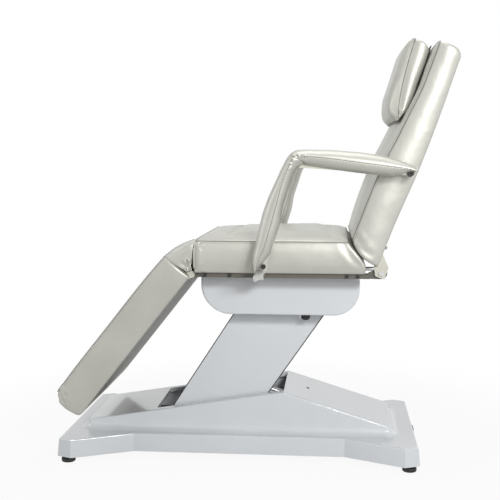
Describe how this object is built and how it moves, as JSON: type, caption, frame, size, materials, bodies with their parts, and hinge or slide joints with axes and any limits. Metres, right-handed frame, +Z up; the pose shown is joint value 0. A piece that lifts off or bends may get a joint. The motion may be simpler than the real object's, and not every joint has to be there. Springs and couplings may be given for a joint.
{
  "type": "podiatry chair",
  "caption": "Reclining treatment chair on a low base with a tilting lift arm, padded seat, back with armrests and sliding head cushion, and a hinged leg rest.",
  "frame": {"origin": "on the floor, midway along and across the chair", "axes": "+Z up, +X towards the back rest, -X towards the leg rest, +Y to the sitter's right"},
  "size_m": [1.2007, 0.756, 1.2792],
  "materials": {
    "vinyl": "satin",
    "white_plastic": "gloss",
    "dark_trim": "matte",
    "black_rubber": "matte",
    "beige_steel": "satin",
    "white_steel": "satin",
    "grey_steel": "satin",
    "steel": "satin",
    "motor_plastic": "matte",
    "plywood": "matte",
    "loop_fabric": "matte",
    "panel_plastic": "matte"
  },
  "bodies": {
    "base": {"base_frame": "grey_steel", "base_cover": "white_plastic", "foot_pads": "black_rubber", "foot_studs": "steel", "lift_brackets": "grey_steel", "lift_axle": "steel", "link_bracket": "grey_steel", "base_pins": "steel", "motor_beam": "grey_steel", "lift_motor": "motor_plastic", "cover_strap": "grey_steel", "cover_screw": "steel", "mains_inlet": "motor_plastic"},
    "arm": {"arm_frame": "grey_steel", "arm_panel_left": "white_plastic", "arm_panel_right": "white_plastic", "arm_edge_trims": "dark_trim", "arm_front_cover": "white_plastic", "arm_rear_cover": "white_plastic", "crank_pin": "steel"},
    "links": {"link_bars": "grey_steel"},
    "lift_rod": {"lift_rod": "steel"},
    "seat": {"seat_frame": "white_steel", "seat_housing": "white_plastic", "seat_board": "plywood", "seat_cushion": "vinyl", "seat_axle": "steel", "link_pin_upper": "steel", "control_box": "motor_plastic", "housing_bumper": "black_rubber", "bumper_tab": "steel", "seat_bolts": "steel", "arm_brackets": "white_steel", "arm_knobs": "black_rubber", "strut_bolts": "steel", "back_motor": "motor_plastic", "leg_motor": "motor_plastic", "knee_flap": "vinyl"},
    "back_rod": {"back_rod": "steel"},
    "leg_rod": {"leg_rod": "steel"},
    "back": {"back_frame": "beige_steel", "back_board": "plywood", "back_cushion": "vinyl", "back_panel": "panel_plastic", "back_loop_pad": "loop_fabric", "back_caps": "steel", "arm_bolts": "steel"},
    "head": {"head_cushion": "vinyl", "head_hook_pad": "loop_fabric"},
    "leg": {"leg_frame": "beige_steel", "leg_cushion": "vinyl", "leg_panel": "panel_plastic"},
    "arm_pad_left": {"arm_pad_left": "vinyl", "arm_pad_core_left": "steel"},
    "arm_pad_right": {"arm_pad_right": "vinyl", "arm_pad_core_right": "steel"},
    "strut_left": {"strut_left": "vinyl", "strut_core_left": "steel"},
    "strut_right": {"strut_right": "vinyl", "strut_core_right": "steel"}
  },
  "joints": [
    {"name": "lift", "type": "hinge", "parent": "base", "child": "arm", "pos_m": [-0.178, 0, 0.088], "axis": [0, -1, 0], "range_deg": [-4, 30]},
    {"name": "seat_level", "type": "hinge", "parent": "arm", "child": "seat", "pos_m": [0.15893, 0, 0.53028], "axis": [0, -1, 0], "range_deg": [-30, 4]},
    {"name": "link_turn", "type": "hinge", "parent": "base", "child": "links", "pos_m": [-0.12679, 0, 0.06077], "axis": [0, -1, 0], "range_deg": [-4, 30]},
    {"name": "lift_extend", "type": "slide", "parent": "base", "child": "lift_rod", "axis": [-0.9593, 0, 0.2823], "range_m": [-0.0105, 0.0777]},
    {"name": "back_recline", "type": "hinge", "parent": "seat", "child": "back", "pos_m": [0.3795, 0, 0.598], "axis": [0, 1, 0], "range_deg": [0, 68]},
    {"name": "back_extend", "type": "slide", "parent": "seat", "child": "back_rod", "axis": [1, 0, 0], "range_m": [-0.048, 0]},
    {"name": "leg_raise", "type": "hinge", "parent": "seat", "child": "leg", "pos_m": [-0.183, 0, 0.588], "axis": [0, 1, 0], "range_deg": [0, 51.7], "deforming": ["knee_flap"]},
    {"name": "leg_extend", "type": "slide", "parent": "seat", "child": "leg_rod", "axis": [1, 0, 0], "range_m": [-0.0532, 0]},
    {"name": "head_slide", "type": "slide", "parent": "back", "child": "head", "axis": [0.3551, 0, 0.9348], "range_m": [0, 0.08]},
    {"name": "arm_left_level", "type": "hinge", "parent": "back", "child": "arm_pad_left", "pos_m": [0.4526, 0, 0.8902], "axis": [0, 1, 0], "range_deg": [-68, 0]},
    {"name": "strut_left_turn", "type": "hinge", "parent": "seat", "child": "strut_left", "pos_m": [0.039, 0, 0.622], "axis": [0, 1, 0], "range_deg": [0, 68]},
    {"name": "arm_right_level", "type": "hinge", "parent": "back", "child": "arm_pad_right", "pos_m": [0.4526, 0, 0.8902], "axis": [0, 1, 0], "range_deg": [-68, 0]},
    {"name": "strut_right_turn", "type": "hinge", "parent": "seat", "child": "strut_right", "pos_m": [0.039, 0, 0.622], "axis": [0, 1, 0], "range_deg": [0, 68]}
  ],
  "couplings": [
    {"joint": "seat_level", "follows": "lift", "ratio": -1},
    {"joint": "link_turn", "follows": "lift", "ratio": 1},
    {"joint": "lift_extend", "follows": "lift", "m_per_rad": 0.1482},
    {"joint": "back_extend", "follows": "back_recline", "m_per_rad": -0.0396},
    {"joint": "leg_extend", "follows": "leg_raise", "m_per_rad": -0.058},
    {"joint": "arm_left_level", "follows": "back_recline", "ratio": -1},
    {"joint": "strut_left_turn", "follows": "back_recline", "ratio": 1},
    {"joint": "arm_right_level", "follows": "back_recline", "ratio": -1},
    {"joint": "strut_right_turn", "follows": "back_recline", "ratio": 1}
  ]
}
